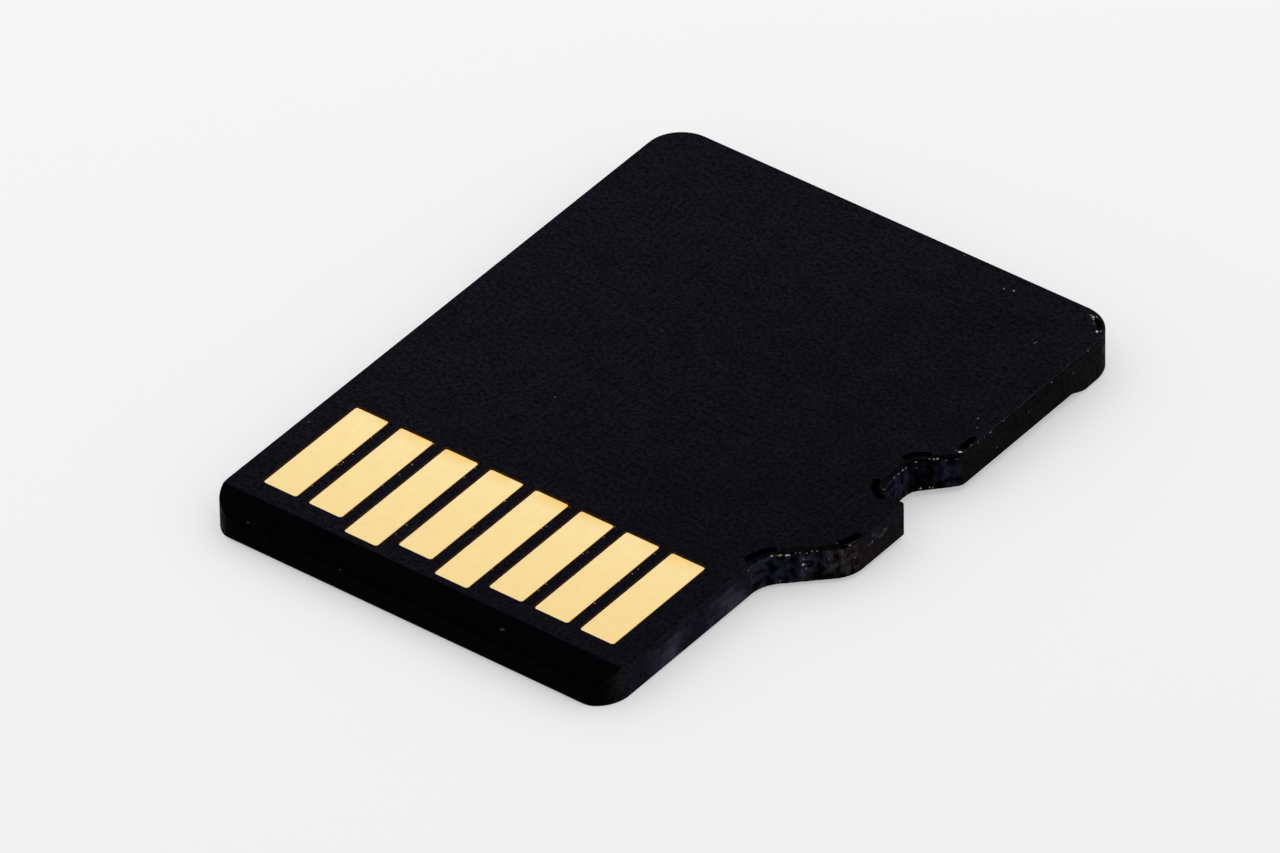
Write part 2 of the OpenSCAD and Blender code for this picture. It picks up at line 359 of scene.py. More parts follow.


# Torn places on the right-hand walls and at two corners: y, light, hue of the tear; the light and
# the hue are partly the torn resin's own colour and partly painted light and reflections
TORN_PLACES = [
    (-7.0, 0.6, 0.85), (-2.9, 0.6, 0.6), (-2.72, 0.6, 0.45), (-2.62, 0.8, 0.35),
    (-2.48, 0.8, 0.14), (-2.2, 0.6, 0.08), (-2.02, 0.4, 0.25), (-1.95, 0.8, 0.5),
    (-1.84, 0.6, 0.5), (-1.74, 0.3, 0.55), (-1.64, 0.45, 0.72), (-1.5, 0.5, 0.75),
    (-1.34, 0.75, 0.95), (-1.1, 0.6, 1.0), (-0.8, 0.5, 1.0), (0.42, 0.65, 0.0), (0.75, 0.9, 0.05),
    (0.92, 0.95, 0.35), (1.3, 0.85, 0.4), (1.45, 0.18, 0.45), (1.62, 0.14, 0.5), (1.8, 0.16, 0.45),
    (1.93, 0.28, 0.3), (2.02, 0.72, 0.15), (2.18, 0.55, 0.1), (2.6, 0.5, 0.1), (6.9, 0.5, 0.66),
]
# The rest of the right-hand walls, from the nose to the rear: y, and how pale the wall is there;
# this paleness is painted light, and from 0.88 up it also brings in a painted bluish sheen
PAINTED_LIGHT_PLACES = [
    (-7.5, 0.86), (-6.9, 0.87), (-6.4, 0.86), (-6.0, 0.89), (-5.6, 0.95), (-5.25, 0.97),
    (-4.8, 0.88), (-4.3, 0.88), (-3.95, 0.97), (-3.6, 1.0), (-3.1, 0.98), (-2.75, 0.88),
    (-1.5, 0.76), (0.3, 0.76), (2.2, 0.55), (5.5, 0.52), (6.3, 0.66),
]
# Other walls, the rear right corner before and behind its middle, and what the front loses; the
# corner's rise is a painted sheen and the front's loss a painted shade
OTHER_TONE = 0.5
CORNER_SHEEN_TONES = (0.66, 0.3)
FRONT_PAINTED_SHADE = 0.85


def by_rear_corner(x, y):
    return x > RIGHT_X - CORNER_R and y > REAR_Y - CORNER_R


def wall_shades():
    """Painted light and shade: darkest at the nose's front, palest on its right; torn where it was
    punched.
    """
    torn_y, torn_light, torn_hue = zip(*TORN_PLACES)
    pale_y, pale = zip(*PAINTED_LIGHT_PLACES)
    tones = []
    for (x, y), (_, ny) in zip(OUTLINE, NORMALS):
        tone = OTHER_TONE
        if x > 0 and y < REAR_Y - CORNER_R:
            tone = np.interp(y, pale_y, pale)
        if by_rear_corner(x, y):
            tone = CORNER_SHEEN_TONES[0] + CORNER_SHEEN_TONES[1] * smooth(0.2, 0.7, ny)
        front = smooth(0.1, 0.8, -ny) if y < BEVEL_Y else 0.0
        torn = cut_share(x, y)
        light = np.interp(y, torn_y, torn_light)
        tone = tone * (1 - FRONT_PAINTED_SHADE * front) * (1 - torn) + light * torn
        tones.append((tone, torn, np.interp(y, torn_y, torn_hue)))
    return np.array(tones)


def corner_painted_sheen():
    """Painted sheen: how much paler the rear right and front left corners' rounded walls are."""
    shine = []
    for (x, y), (_, ny) in zip(OUTLINE, NORMALS):
        band = 0.0
        if by_rear_corner(x, y):
            band = smooth(0.12, 0.42, ny) * smooth(0.95, 0.75, ny)
        elif x < LEFT_X + CORNER_R and y < NOSE_Y + CORNER_R:
            band = smooth(-0.99, -0.82, ny) * smooth(-0.25, -0.45, ny)
        shine.append(0.95 * band)
    return np.array(shine)


def tab_toned(tones):
    """The board's tones, no darker than its limit on the tab before the notch."""
    return [max(tone, BOARD_LIMIT) if -1.3 < y < 0.4 < x and torn < 0.5 else tone
            for (x, y), tone, torn in zip(OUTLINE, tones, TORN)]


def depth_limits():
    """How deep each point may go before the notch's front corner folds over."""
    away = [math.dist(p, (RIGHT_X, NOTCH_Y)) for p in OUTLINE]
    return np.array([0.8 * NOTCH_FRONT_R + 0.8 * max(0.0, d - 0.08) for d in away])


# For each point of the outline: shades of the walls, how quiet the edge is, and what dims it; the
# limits cap the tone so the painted sheen stays off the upper wall and the board's edge, and a
# quiet edge gets no painted highlight
UPPER_LIMIT = 0.93
BOARD_LIMIT = 0.86
WALL_SHADES = wall_shades()
TORN = WALL_SHADES[:, 1].copy()
PAINTED_SHEEN = corner_painted_sheen()
WALL_SHADES[:, 1] += PAINTED_SHEEN
WALL_SHADES[:, 0] = np.maximum(WALL_SHADES[:, 0], PAINTED_SHEEN)
FOOT_SHADES = WALL_SHADES * (1, 1, 0.4) + (0, 0, 0.6)
FOOT_SHADES[:, 0] *= 1 - 0.45 * TORN
UPPER_SHADES = np.minimum(WALL_SHADES, (UPPER_LIMIT, 1, 1))
BOARD_SHADES = np.minimum(WALL_SHADES, (BOARD_LIMIT, 1, 1))
BOARD_SHADES[:, 0] = tab_toned(BOARD_SHADES[:, 0])
DEPTH_LIMITS = depth_limits()
QUIET = np.array([smooth(0.7, 0.1, y) if x > 0 else 0.0 for x, y in OUTLINE])
ONES = np.ones(len(OUTLINE))
DIM = np.stack([(0.7 + 0.3 * QUIET) * (1 - 0.75 * TORN), ONES, ONES], 1)


# Heights of the moulding's faces

def drop(depth, r):
    """How far a rounded edge lies below the face at this distance from the wall."""
    return 0 if depth >= r else r - math.sqrt(r * r - (r - depth) ** 2)


def nose_height(y):
    """The bevel and the rounded tip, seen from the side."""
    slope = math.atan2(BEVEL_DROP, BEVEL_L)
    half = (math.pi / 2 + slope) / 2
    reach = TIP_R / math.tan(half)
    tip_z = CARD_H - BEVEL_DROP - reach
    arc_end = NOSE_Y + reach * math.cos(slope)
    if y > arc_end:
        return CARD_H - BEVEL_DROP * (BEVEL_Y - y) / BEVEL_L
    across = min(TIP_R, NOSE_Y + TIP_R - y)
    return tip_z + math.sqrt(TIP_R ** 2 - across ** 2)


def label_height(x, y):
    """The label face, the grip ridge's slope and its flat top."""
    t = (RIDGE_TOP_R - math.hypot(x, y - RIDGE_AXIS_Y)) / RIDGE_SLOPE_L
    straight_share = 0.65
    even = straight_share * min(1.0, max(0.0, t))
    height = LABEL_Z * (even + (1 - straight_share) * smooth(0, 1, t))
    if y > REAR_Y - RIDGE_EDGE_R:
        height += drop(REAR_Y - y, RIDGE_EDGE_R)
    if y < NOSE_Y + NOSE_EDGE_R:
        height += drop(y - NOSE_Y, NOSE_EDGE_R)
    return height


# Moulding

INSETS = [0, 0.002, 0.007, 0.015, 0.027, EDGE_R, 0.07, 0.1, 0.12]
WALL_ROWS = [0.04, 0.1, 0.2, 0.3, 0.42, 0.54, 0.66, 0.78, 0.9, 1.0]
FOOT_ROW, UPPER_ROW = 0.25, 0.6


def low_edge_r(y):
    """The label side's edge is rounder at the two ends of the grip ridge."""
    return LOW_EDGE_R + 0.1 * (smooth(6.0, 6.5, y) - smooth(6.95, 7.3, y))


def moulding_bottom(shell, wear):
    """Rings from the label side's flat part out to the foot of the wall."""
    rings = []
    for depth in reversed(INSETS):
        plan = inset(OUTLINE, np.minimum(depth + wear, DEPTH_LIMITS * (1 + 0.3 * depth)))
        heights = [label_height(x, y) + drop(depth, low_edge_r(y)) for x, y in plan]
        rings.append(shell.ring(plan, heights, LABEL_SHADE if depth > 0.005 else FOOT_SHADES))
    free = shell.add_points(ridge_points(), LABEL_SHADE)
    shell.fill(rings[:1], up=False, free=free, flat=False)
    shell.bridges(rings)
    return rings[-1], np.array(heights)


def ridge_points():
    """Points on the ridge's slope and the rear edge, inside the innermost ring."""
    points = []
    edge, margin, rows, half_count = RIGHT_X - 0.2, 0.03, 12, 35
    for i in range(rows + 1):
        r = RIDGE_CURVE_R - margin + i * (RIDGE_SLOPE_L + 2 * margin) / rows
        for k in range(-half_count, half_count + 1):
            x = k * edge / half_count
            points.append((x, RIDGE_AXIS_Y + math.sqrt(r * r - x * x)))
    points += [(k * 0.25, REAR_Y - RIDGE_EDGE_R) for k in range(-18, 19)]
    return [(x, y, label_height(x, y)) for x, y in points]


def nose_plan(depth, wear):
    """The nose's outline moved inwards, with both ends kept on the bevel line."""
    plan = inset(OUTLINE, depth + wear)[:NOSE_COUNT]
    for i, (x, y) in enumerate(OUTLINE[:NOSE_COUNT]):
        hold = min(1.0, max(0.0, (BEVEL_Y - y) / 0.15))
        plan[i][1] = y + (plan[i][1] - y) * hold
    return plan


def make_moulding(materials):
    shell = Shell()
    wear = wall_wear(BOARD_Z)
    ring, foot = moulding_bottom(shell, wear)
    rings = [ring]
    for row in WALL_ROWS:
        heights = foot + (BOARD_Z - foot) * row
        plan = inset(OUTLINE, wall_wear(BOARD_Z - (1 - row) * 0.5) if row < 1 else wear)
        shades = WALL_SHADES if row < UPPER_ROW else UPPER_SHADES
        rings.append(shell.ring(plan, heights, FOOT_SHADES if row < FOOT_ROW else shades))
    shell.bridges(rings)
    shell.fill([rings[-1][NOSE_COUNT - 1:] + rings[-1][:1]])
    strips = [rings[-1][:NOSE_COUNT]]
    steps = [("wall", t) for t in (0.3, 0.6, 1.0)] + [("top", d) for d in INSETS[1:]]
    for kind, amount in steps:
        plan = nose_plan(0 if kind == "wall" else amount, wear)
        if kind == "wall":
            top = np.array([nose_height(y) - EDGE_R for _, y in plan])
            heights = BOARD_Z + (top - BOARD_Z) * amount
            shade = WALL_SHADES[:NOSE_COUNT]
        else:
            heights = [nose_height(y) - drop(amount, EDGE_R) for _, y in plan]
            shade = WALL_SHADES[:NOSE_COUNT] * max(0.0, 1 - amount / 0.03)
        strips.append(shell.ring(plan, heights, shade))
    shell.bridges(strips, closed=False)
    tip_line = NOSE_Y + 0.7 * TIP_R
    free = shell.add_points([(k * 0.2, tip_line, nose_height(tip_line)) for k in range(-23, 17)])
    shell.fill(strips[-1:], free=free)
    shell.face([s[0] for s in strips] + [s[-1] for s in strips[::-1]], flat=True)
    piece = shell.object("moulding", materials)
    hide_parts("mould_body")


# Board

BOARD_TOP = CARD_H - RELIEF_H
MASK, CUT, MARK, WINDOW, CHIP = range(5)
CHIP_W = 0.115
# The tracks' tops are a little paler: a painted highlight that makes the relief show
TRACK_TOP_HIGHLIGHT = (0.02, 0, 0)


def board_loop():
    """The board's outline, closed along the bevel line, and the count before that."""
    body = OUTLINE[NOSE_COUNT - 1:] + OUTLINE[:1]
    front = straight(OUTLINE[0], OUTLINE[NOSE_COUNT - 1], 0.25)
    return body + front, len(body)


def contact_loop(i, grow=0.0):
    """The outline of a gold pad, grown a little."""
    low, high = box_mm(f"contact_{i}")
    grow += PAD_SWELL
    sides = square(low[0] - grow, low[1] - grow, high[0] + grow, high[1] + grow)
    corners = [(x, y, CONTACT_R + grow) for x, y in sides]
    return rounded(corners, lambda x, y: 0.02, lambda x, y: 0.2)


def band_loop(line, width):
    """The outline of a band along a line, with round ends."""
    half, ends = width / 2, 6
    way = [unit(b[0] - a[0], b[1] - a[1]) for a, b in zip(line, line[1:])]
    way = [way[0]] + [unit(a[0] + b[0], a[1] + b[1]) for a, b in zip(way, way[1:])] + [way[-1]]
    right = [(x + half * w[1], y - half * w[0]) for (x, y), w in zip(line, way)]
    left = [(x - half * w[1], y + half * w[0]) for (x, y), w in zip(line, way)]

    def end_cap(centre, heading):
        start = math.atan2(heading[1], heading[0]) - math.pi / 2
        return on_circle(centre, half, [start + math.pi * k / ends for k in range(1, ends)])

    front = end_cap(line[-1], way[-1])
    back = end_cap(line[0], (-way[0][0], -way[0][1]))
    return right + front + left[::-1] + back


def arc_line(centre, r, start, end):
    count = 14
    turns = [math.radians(start + (end - start) * k / count) for k in range(count + 1)]
    return on_circle(centre, r, turns)


def mark_lines():
    """Middle lines of the five dark marks along the shoulder and the notch."""
    mark_x = RIGHT_X - MARK_INSET
    notch_r = NOTCH_INNER_R + NOTCH_MARK_INSET
    return [
        arc_line(corner_centre(2), SHOULDER_R + MARK_INSET, 140, 175),
        arc_line(corner_centre(3), SHOULDER_R - MARK_INSET, -34, 0),
        arc_line(corner_centre(5), notch_r, 198, 252),
        arc_line(corner_centre(6), notch_r, 114, 160),
        [(mark_x, 2.47), (mark_x, 2.63), (mark_x, 2.79)],
    ]


def sink(shell, loop, profile, look):
    """A pocket; its profile gives inset and height from the face to the floor."""
    rings = [shell.ring(inset(loop, depth), z) for depth, z in profile]
    shell.bridges(rings, look)
    shell.fill([rings[-1]], look)
    return rings[0]


def rim_widths(wear):
    """How wide the top edge is rounded or broken away, clear of the marks."""
    marks = np.array([p for line in mark_lines() for p in line])
    widths = []
    for (x, y), s, worn, limit in zip(OUTLINE, ALONG, wear, DEPTH_LIMITS):
        chip = max(0.0, noise.noise(Vector((s * 3.3, 4.2, 0.7))) + 0.3)
        on_nose = smooth(-2.4, -3.0, y) if x > 0 else 0.0
        torn = 0.06 if y < 0 else 0.04
        width = EDGE_R + 0.03 * on_nose + (torn + 0.08 * chip) * cut_share(x, y)
        free = np.hypot(*(marks - (x, y)).T).min() - MARK_W / 2 - 0.008
        widths.append(max(0.01, min(width, min(free, limit) - worn)))
    return np.array(widths)


def rim_shades(fraction):
    """From the wall's tone at the rounded edge's foot to the plain face; the tone on the rounded
    edge is a painted highlight, weaker where torn and none where quiet.
    """
    shades = BOARD_SHADES.copy()
    shades[:, 0] *= (1 - fraction ** 2) * (1 - 0.85 * TORN) * (1 - QUIET)
    shades[:, 1] = 0
    shades[:, 2] = TORN * (1 - smooth(0.6, 1.0, fraction))
    return shades


def make_board(materials):
    shell = Shell()
    loop, body_count = board_loop()
    count = len(loop)

    def on_loop(values, front):
        """The outline's values, with the front's value along the bevel line."""
        values = np.asarray(values)
        edge = np.broadcast_to(np.asarray(front), (count - body_count,) + values.shape[1:])
        return np.concatenate([values[NOSE_COUNT - 1:], values[:1], edge])

    def wear_at(z):
        return on_loop(wall_wear(z), 0.0)

    def moved(depths):
        """The loop moved inwards; its ends move along the front line and off it."""
        plan = inset(loop, depths)
        for end, side in ((0, -1), (body_count - 1, 1)):
            x, y = loop[end]
            plan[end] = (x + side * depths[end], y + depths[-1])
        return plan

    soft = on_loop(np.ones(len(OUTLINE)), 0.25)
    soft[[0, body_count - 1]] = 0.6
    soft += 0.5 * on_loop(TORN, 0.0)
    width = on_loop(rim_widths(wall_wear(BOARD_Z + 0.2)), EDGE_R * 0.25)
    wall = on_loop(BOARD_SHADES, PLAIN)
    rings = [shell.ring(moved(wear_at(BOARD_Z)), BOARD_Z, wall)]
    shell.fill(rings, MASK, up=False)
    wall_top = BOARD_TOP - EDGE_R * soft
    for row in (0.25, 0.5, 0.75, 1.0):
        z = BOARD_Z + (wall_top - BOARD_Z) * row
        shade = wall * on_loop(DIM, 1.0) if row == 1 else wall
        rings.append(shell.ring(moved(wear_at(BOARD_Z + 0.2 * row)), z, shade))
    shell.bridges(rings, CUT)
    wear = wear_at(BOARD_Z + 0.2)
    for fraction in (0.05, 0.15, 0.35, 0.6, 1.0):
        z = BOARD_TOP - drop(fraction * EDGE_R, EDGE_R) * soft
        shade = on_loop(rim_shades(fraction) if fraction > 0.2 else BOARD_SHADES * DIM, PLAIN)
        rings.append(shell.ring(moved(wear + fraction * width), z, shade))
        shell.bridge(*rings[-2:], CUT if fraction < 0.2 else MASK)
    holes = []
    floor_z = box_mm("contact_1")[0][2]
    for i in CONTACTS:
        lip = [(0, BOARD_TOP), (0.004, BOARD_TOP - 0.001), (0.009, BOARD_TOP - 0.005),
               (0.012, BOARD_TOP - 0.012), (0.014, floor_z)]
        holes.append(sink(shell, contact_loop(i, WINDOW_GAP + lip[-1][0]), lip, WINDOW))
    mark_profile = [(0, BOARD_TOP), (0.01, BOARD_TOP - 0.01), (0.03, BOARD_TOP - MARK_DEPTH)]
    for line in mark_lines():
        holes.append(sink(shell, band_loop(line, MARK_W), mark_profile, MARK))
    chip = arc_line(corner_centre(8), CORNER_R - 0.117, 35, 53)
    holes.append(sink(shell, band_loop(chip, CHIP_W), mark_profile, CHIP))
    shell.fill(rings[-1:] + holes, MASK)
    piece = shell.object("board", materials)
    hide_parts("contact_board")


# Copper tracks that show faintly as relief through the mask

TRACK_W = 0.12
TRACK_SLOPE = 0.014
GRID_PITCH = 0.21
GRID_GAP = 0.1


def make_plate(shell, outer, holes=()):
    """A thin raised plate with sloped sides and holes."""
    low, high = BOARD_TOP - 0.003, CARD_H - 0.001
    foot = shell.ring(outer, low)
    top = shell.ring(inset(outer, TRACK_SLOPE), high, TRACK_TOP_HIGHLIGHT)
    shell.bridge(foot, top)
    feet, tops = [foot], [top]
    for hole in holes:
        feet.append(shell.ring(hole, low))
        tops.append(shell.ring(inset(hole, -TRACK_SLOPE), high, TRACK_TOP_HIGHLIGHT))
        shell.bridge(tops[-1], feet[-1])
    shell.fill(feet, up=False)
    shell.fill(tops)


def make_grid(shell, x0, y0, columns, rows):
    """A copper plane opened by square holes."""
    holes = [square(x0 + GRID_GAP + i * GRID_PITCH, y0 + GRID_GAP + j * GRID_PITCH,
                    x0 + (i + 1) * GRID_PITCH, y0 + (j + 1) * GRID_PITCH)
             for i in range(columns) for j in range(rows)]
    make_plate(shell, square(x0, y0, x0 + columns * GRID_PITCH + GRID_GAP,
                             y0 + rows * GRID_PITCH + GRID_GAP), holes)


def track_lines():
    """Middle lines of the tracks, bundle by bundle."""
    lines = []
    for k in range(4):
        x, y = -3.05 + 0.25 * k, -0.75 - 0.16 * k
        line = [(x, 3.4), (x, y), (x - 0.35, y - 0.35), (x - 0.45, y - 0.75)]
        lines.append(line + [(x - 0.45, -2.9) if k == 3 else (x - 1.4, y - 1.9)])
    for k in range(4):
        x = -2.0 + 0.22 * k
        lines.append([(x, 3.3 - 0.2 * k), (x, -2.1 + 0.1 * k)])
    lines.append([(-1.1, -1.8), (-1.1, 1.35), (-0.55, 1.75), (0.1, 2.55), (0.9, 2.55)])
    for y in (4.8, 4.55):
        lines.append([(-2.3, y - 0.75), (-1.6, y - 0.45), (-0.9, y), (2.6, y)])
    for y in (6.75, 6.5, 6.25):
        lines.append([(-4.3, y), (4.2, y)])
    for k in range(6):
        y, reach = -0.3 + 0.23 * k, 0.85 - 0.1 * k
        lines.append([(-0.7, y), (2.4, y), (2.6 + reach, y + 0.9 * reach)])
    for k in range(3):
        y = 1.72 + 0.3 * k
        lines.append([(0.3, y), (2.4, y), (3.2, y + 0.75)])
    for k in range(9):
        y = -1.0 - 0.22 * k
        lines.append([(-0.8, y), (3.2, y)])
    for k in range(5):
        y = 5.0 + 0.23 * k
        lines.append([(2.8, y), (3.9, y)])
    lines.append([(4.45, 6.5), (4.45, 5.6), (4.15, 5.1)])
    lines.append([(4.72, 6.2), (4.72, 5.4), (4.4, 4.9)])
    return lines


def smooth_line(line, reach=0.12):
    """The line with its corners cut off, so that a band along it stays simple."""
    points = [line[0]]
    for before, corner, after in zip(line, line[1:], line[2:]):
        for other in (before, after):
            t = min(0.45, reach / math.dist(corner, other))
            points.append((corner[0] + (other[0] - corner[0]) * t,
                           corner[1] + (other[1] - corner[1]) * t))
    return points + [line[-1]]


def make_tracks(materials):
    shell = Shell()
    for line in track_lines():
        make_plate(shell, band_loop(smooth_line(line), TRACK_W))
    for x, y, columns, rows in ((-4.8, -0.84, 6, 19), (-4.8, -1.8, 4, 4), (-4.8, -2.34, 2, 2),
                                (3.62, -1.85, 4, 27), (4.62, 3.0, 3, 7)):
        make_grid(shell, x, y, columns, rows)
    shell.object("copper_relief", materials)


# Small bright crumbs: torn glass fibre whose brightness is partly a painted glint, dust, and
# specks between the contacts

WHITE, VIOLET, GOLDEN, BEIGE = 1.0, 0.7, 0.35, 0.0


def make_crumb(shell, centre, radii, seed, hue, light, heading=0.0):
    """A small uneven blob; radii along its heading, across it and in height."""
    rows, around = 4, 8
    turn = Matrix.Rotation(heading, 3, "Z")

    def point(polar, azimuth):
        flat = math.sin(polar)
        way = Vector((flat * math.cos(azimuth), flat * math.sin(azimuth), -math.cos(polar)))
        swell = 0.85 + 0.8 * noise.noise(way * 1.9 + Vector((seed * 7.3, 1.7, 5.1)))
        return Vector(centre) + turn @ Vector([w * r * swell for w, r in zip(way, radii)])

    shade = (hue, light, 0)
    polars = [math.pi * i / (rows + 1) for i in range(1, rows + 1)]
    bottom, = shell.add_points([point(0, 0)], shade)
    rings = [shell.add_points([point(p, 2 * math.pi * k / around) for k in range(around)], shade)
             for p in polars]
    top, = shell.add_points([point(math.pi, 0)], shade)
    shell.bridges(rings)
    for k in range(around):
        j = (k + 1) % around
        shell.face((bottom, rings[0][j], rings[0][k]))
        shell.face((rings[-1][k], rings[-1][j], top))


def make_flake(shell, centre, radii, seed, hue, light, heading=0.0):
    """A torn flake: one crumb with two or three smaller ones round it."""
    make_crumb(shell, centre, radii, seed, hue, light, heading)
    draw = random.Random(seed)
    along = Vector((math.cos(heading), math.sin(heading), 0))
    for k in range(draw.choice((2, 3))):
        step = along * draw.uniform(-1.5, 1.5) * radii[0]
        step.z += draw.uniform(-0.9, 0.9) * radii[2]
        scale = draw.uniform(0.3, 0.6)
        make_crumb(shell, Vector(centre) + step, [r * scale for r in radii], seed * 5 + k,
                   hue, light * draw.uniform(0.3, 0.9), heading)


def edge_point(y):
    """The outline's point at y on the right-hand side, and the wall's heading."""
    right = [i for i, p in enumerate(OUTLINE) if p[0] > NOSE_X - 0.7]
    i = min(right, key=lambda i: abs(OUTLINE[i][1] - y))
    nx, ny = NORMALS[i]
    return OUTLINE[i], math.atan2(nx, -ny)


# Crumbs on the shoulder's edge, on its wall, and on the notch and behind it, partly real torn
# fibre and partly painted glints: y, depth below the face, length, hue, light
EDGE_CRUMBS = [
    (-2.92, 0.13, 0.03, VIOLET, 0.3), (-2.83, 0.11, 0.018, VIOLET, 0.16),
    (-2.72, 0.11, 0.016, VIOLET, 0.12), (-2.39, 0.06, 0.04, GOLDEN, 0.3),
    (-2.26, 0.07, 0.05, GOLDEN, 0.35), (-2.17, 0.085, 0.05, WHITE, 0.55),
    (-2.05, 0.05, 0.022, GOLDEN, 0.14), (-1.99, 0.05, 0.018, GOLDEN, 0.12),
    (-1.9, 0.08, 0.022, GOLDEN, 0.25), (-1.82, 0.045, 0.02, GOLDEN, 0.16),
    (-1.755, 0.05, 0.025, GOLDEN, 0.14), (-1.26, 0.03, 0.028, WHITE, 0.13),
    (-1.955, 0.35, 0.032, VIOLET, 0.45), (-1.935, 0.22, 0.016, VIOLET, 0.18),
    (-1.91, 0.45, 0.024, VIOLET, 0.12), (-1.84, 0.47, 0.018, VIOLET, 0.05),
    (-1.6, 0.27, 0.02, VIOLET, 0.12), (-1.35, 0.26, 0.018, BEIGE, 0.12),
    (-1.16, 0.38, 0.022, BEIGE, 0.2), (-2.27, 0.7, 0.018, BEIGE, 0.4),
    (-0.73, 0.34, 0.018, WHITE, 0.08), (-0.63, 0.29, 0.02, WHITE, 0.1),
    (0.97, 0.07, 0.028, WHITE, 0.24), (1.11, 0.07, 0.032, WHITE, 0.3),
    (1.245, 0.07, 0.03, WHITE, 0.26), (1.355, 0.07, 0.026, WHITE, 0.22),
    (1.59, 0.05, 0.028, GOLDEN, 0.28), (1.6, 0.19, 0.02, WHITE, 0.16),
    (1.785, 0.02, 0.024, WHITE, 0.16), (1.85, 0.03, 0.028, WHITE, 0.22),
    (1.915, 0.04, 0.03, WHITE, 0.3), (2.03, 0.1, 0.026, GOLDEN, 0.22),
    (2.19, 0.1, 0.02, VIOLET, 0.1), (2.8, 0.035, 0.02, GOLDEN, 0.12),
    (3.0, 0.03, 0.016, WHITE, 0.12), (3.16, 0.04, 0.03, WHITE, 0.26),
    (3.38, 0.53, 0.02, WHITE, 0.07), (3.63, 0.03, 0.02, WHITE, 0.1),
    (4.44, 0.3, 0.02, WHITE, 0.09), (5.18, 0.05, 0.024, WHITE, 0.2),
    (5.88, 0.28, 0.018, WHITE, 0.08), (6.39, 0.03, 0.026, WHITE, 0.2),
    (1.665, 0.71, 0.022, BEIGE, 0.5), (1.79, 0.71, 0.018, BEIGE, 0.4),
    (1.83, 0.73, 0.016, BEIGE, 0.4),
]


def make_edge_crumbs(materials):
    """Torn fibre and resin on the punched edges, partly painted glints, and two rows of faint
    crumbs along the tab that are painted highlights.
    """
    shell = Shell()
    for i, (y, depth, length, hue, light) in enumerate(EDGE_CRUMBS):
        (x, edge_y), heading = edge_point(y)
        inward = 0.008 + 0.5 * max(0, EDGE_R - depth)
        centre = (x - inward * math.sin(heading), edge_y + inward * math.cos(heading),
                  CARD_H - depth)
        height = 1.3 * length if depth > 0.2 else min(0.6 * length, 0.02)
        radii = (length, min(length, 0.02), height)
        make_flake(shell, centre, radii, i, hue, light, heading)
    for i, (x, y, length, across, heading, light) in enumerate(CORNER_CRUMBS):
        make_flake(shell, (x, y, CARD_H - 0.012), (length, across, 0.018), i + 90, WHITE, light,
                   math.radians(heading))
    # A row of faint crumbs along the tab's top edge: a painted highlight line
    for k in range(9):
        y = -1.27 + 0.048 * k
        (x, edge_y), heading = edge_point(y)
        make_crumb(shell, (x - 0.03, edge_y, CARD_H - 0.02), (0.04, 0.009, 0.012), k, WHITE,
                   0.06 + 0.1 * math.sin(math.pi * k / 8), heading)
    # Faint crumbs on the tab's wall: a painted streak of light
    draw = random.Random(8)
    for k in range(12):
        y, height = -0.76 + 0.055 * k, draw.uniform(0.68, 0.84)
        make_crumb(shell, (RIGHT_X - 0.009, y, height), (0.07, 0.012, 0.07), k, WHITE,
                   draw.uniform(0.003, 0.012) * math.sin(math.pi * (k + 0.5) / 12), math.pi / 2)
    shell.object("edge_crumbs", materials)


# Bright flakes at the rear right corner's chip and in the notch, partly real flakes and partly
# painted glints: x, y, half length, half width, heading in degrees, light
CORNER_CRUMBS = [
    (4.96, 7.285, 0.06, 0.036, -50, 0.34), (4.9, 7.315, 0.045, 0.026, -15, 0.16),
    (5.02, 7.335, 0.055, 0.02, -35, 0.24), (5.09, 7.14, 0.036, 0.026, -50, 0.06),
    (5.295, 6.955, 0.052, 0.036, -30, 0.62), (5.35, 7.005, 0.042, 0.02, -60, 0.22),
    (5.415, 2.315, 0.048, 0.026, 25, 0.62), (5.32, 2.305, 0.026, 0.016, 10, 0.12),
    (5.46, 2.61, 0.024, 0.016, 80, 0.14), (4.93, 0.5, 0.022, 0.014, 20, 0.16),
]

# Dust on the contact face: x, y, half length, half width, heading in degrees, light
DUST = [
    (5.07, 3.36, 0.02, 0.018, 0, 0.24), (5.23, 3.11, 0.018, 0.015, 0, 0.15),
    (-1.95, -0.96, 0.024, 0.02, 30, 0.12), (3.02, 6.99, 0.026, 0.02, 10, 0.22),
    (3.21, 7.05, 0.028, 0.022, 60, 0.26), (4.54, 5.96, 0.075, 0.016, 82, 0.09),
    (-5.32, -4.41, 0.024, 0.018, 80, 0.16), (-4.95, -3.62, 0.016, 0.014, 0, 0.1),
    (1.76, 7.39, 0.02, 0.014, 0, 0.12), (5.21, -1.38, 0.02, 0.016, 0, 0.1),
]

# Specks on the nose: x, y, half size, light
NOSE_SPECKS = [(-4.45, -7.4, 0.022, 0.07), (-2.16, -7.46, 0.03, 0.12), (1.58, -7.18, 0.07, 0.012)]


def make_dust(materials):
    shell = Shell()
    for i, (x, y, length, across, heading, light) in enumerate(DUST):
        make_crumb(shell, (x, y, CARD_H - 0.004), (length, across, 0.012), i + 40, WHITE, light,
                   math.radians(heading))
    for i, (x, y, size, light) in enumerate(NOSE_SPECKS):
        make_crumb(shell, (x, y, nose_height(y)), (size, size, 0.01), i + 20, WHITE, light)
    draw = random.Random(5)
    for i in CONTACTS[:-1]:
        low, high = box_mm(f"contact_{i}")
        for k in range(draw.choice((4, 5, 6))):
            x = high[0] + draw.uniform(0.03, 0.1)
            y = draw.uniform(low[1] + 0.3, high[1])
            size = draw.uniform(0.014, 0.022)
            make_crumb(shell, (x, y, BOARD_TOP), (size, size, 0.01), i * 5 + k, BEIGE,
                       draw.uniform(0.35, 0.8))
    shell.object("dust", materials)


# Gold contacts

